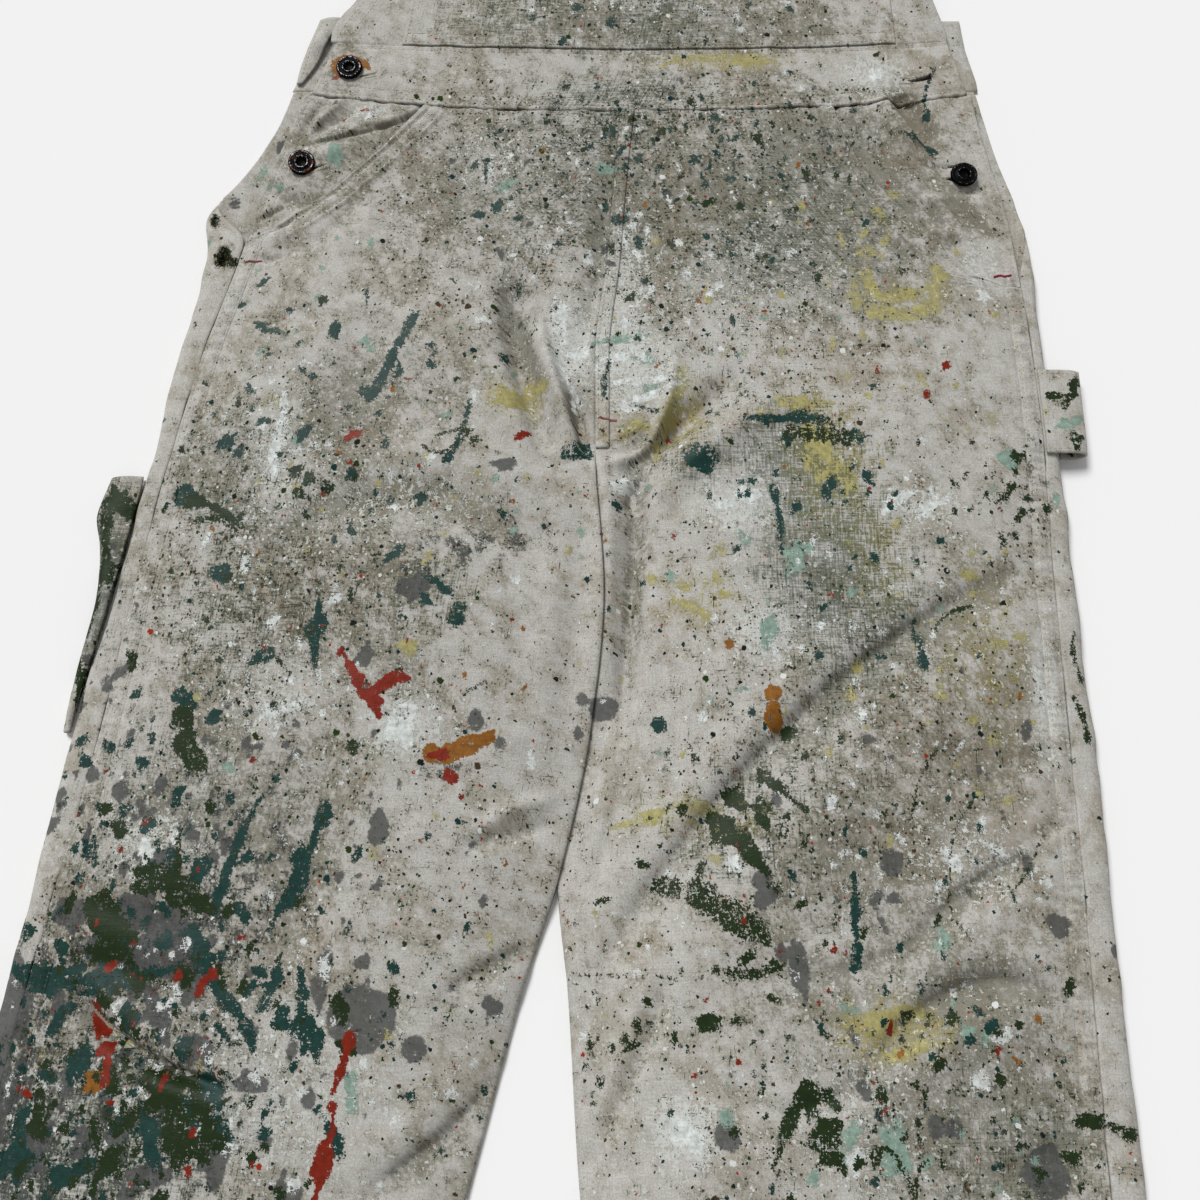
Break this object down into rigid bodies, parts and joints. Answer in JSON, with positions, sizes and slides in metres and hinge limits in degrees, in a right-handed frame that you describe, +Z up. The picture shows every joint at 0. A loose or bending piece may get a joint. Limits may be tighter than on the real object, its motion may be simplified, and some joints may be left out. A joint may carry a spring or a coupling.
{
  "type": "paint spattered overalls",
  "caption": "Worn painter's bib overalls in off-white cotton drill, laid flat face up, with slant pockets, rule pocket, hammer loop and layers of spattered paint.",
  "frame": {"origin": "on the surface under the middle of the garment's box", "axes": "+X across the garment to the hammer loop's side, +Y up the garment to the bib, +Z up from the surface it lies on"},
  "size_m": [0.6798, 1.465, 0.0233],
  "materials": {
    "drill": "worn cotton drill with grime and paint",
    "trim": "worn cotton drill, doubled and stitched",
    "button": "dark tack button, worn at the rim",
    "hardware": "dull wire"
  },
  "bodies": {
    "root": {"front_leg_left": "drill", "front_leg_right": "drill", "back_leg_left": "drill", "back_leg_right": "drill", "hip_left": "drill", "hip_right": "drill", "hem_left": "drill", "hem_right": "drill", "outseam_left": "trim", "outseam_right": "trim", "fly_strip": "trim", "waistband_front": "drill", "bib": "drill", "bib_pocket": "trim", "waistband_back": "drill", "placket_left": "trim", "rule_pocket": "trim", "hammer_loop": "trim", "strap_left": "trim", "strap_right": "trim", "hook_left": "hardware", "hook_right": "hardware", "slide_left": "hardware", "slide_right": "hardware", "bib_button_left": "button", "bib_button_right": "button", "waist_button_left": "button", "hip_button_left": "button", "hip_button_right": "button"}
  },
  "joints": []
}
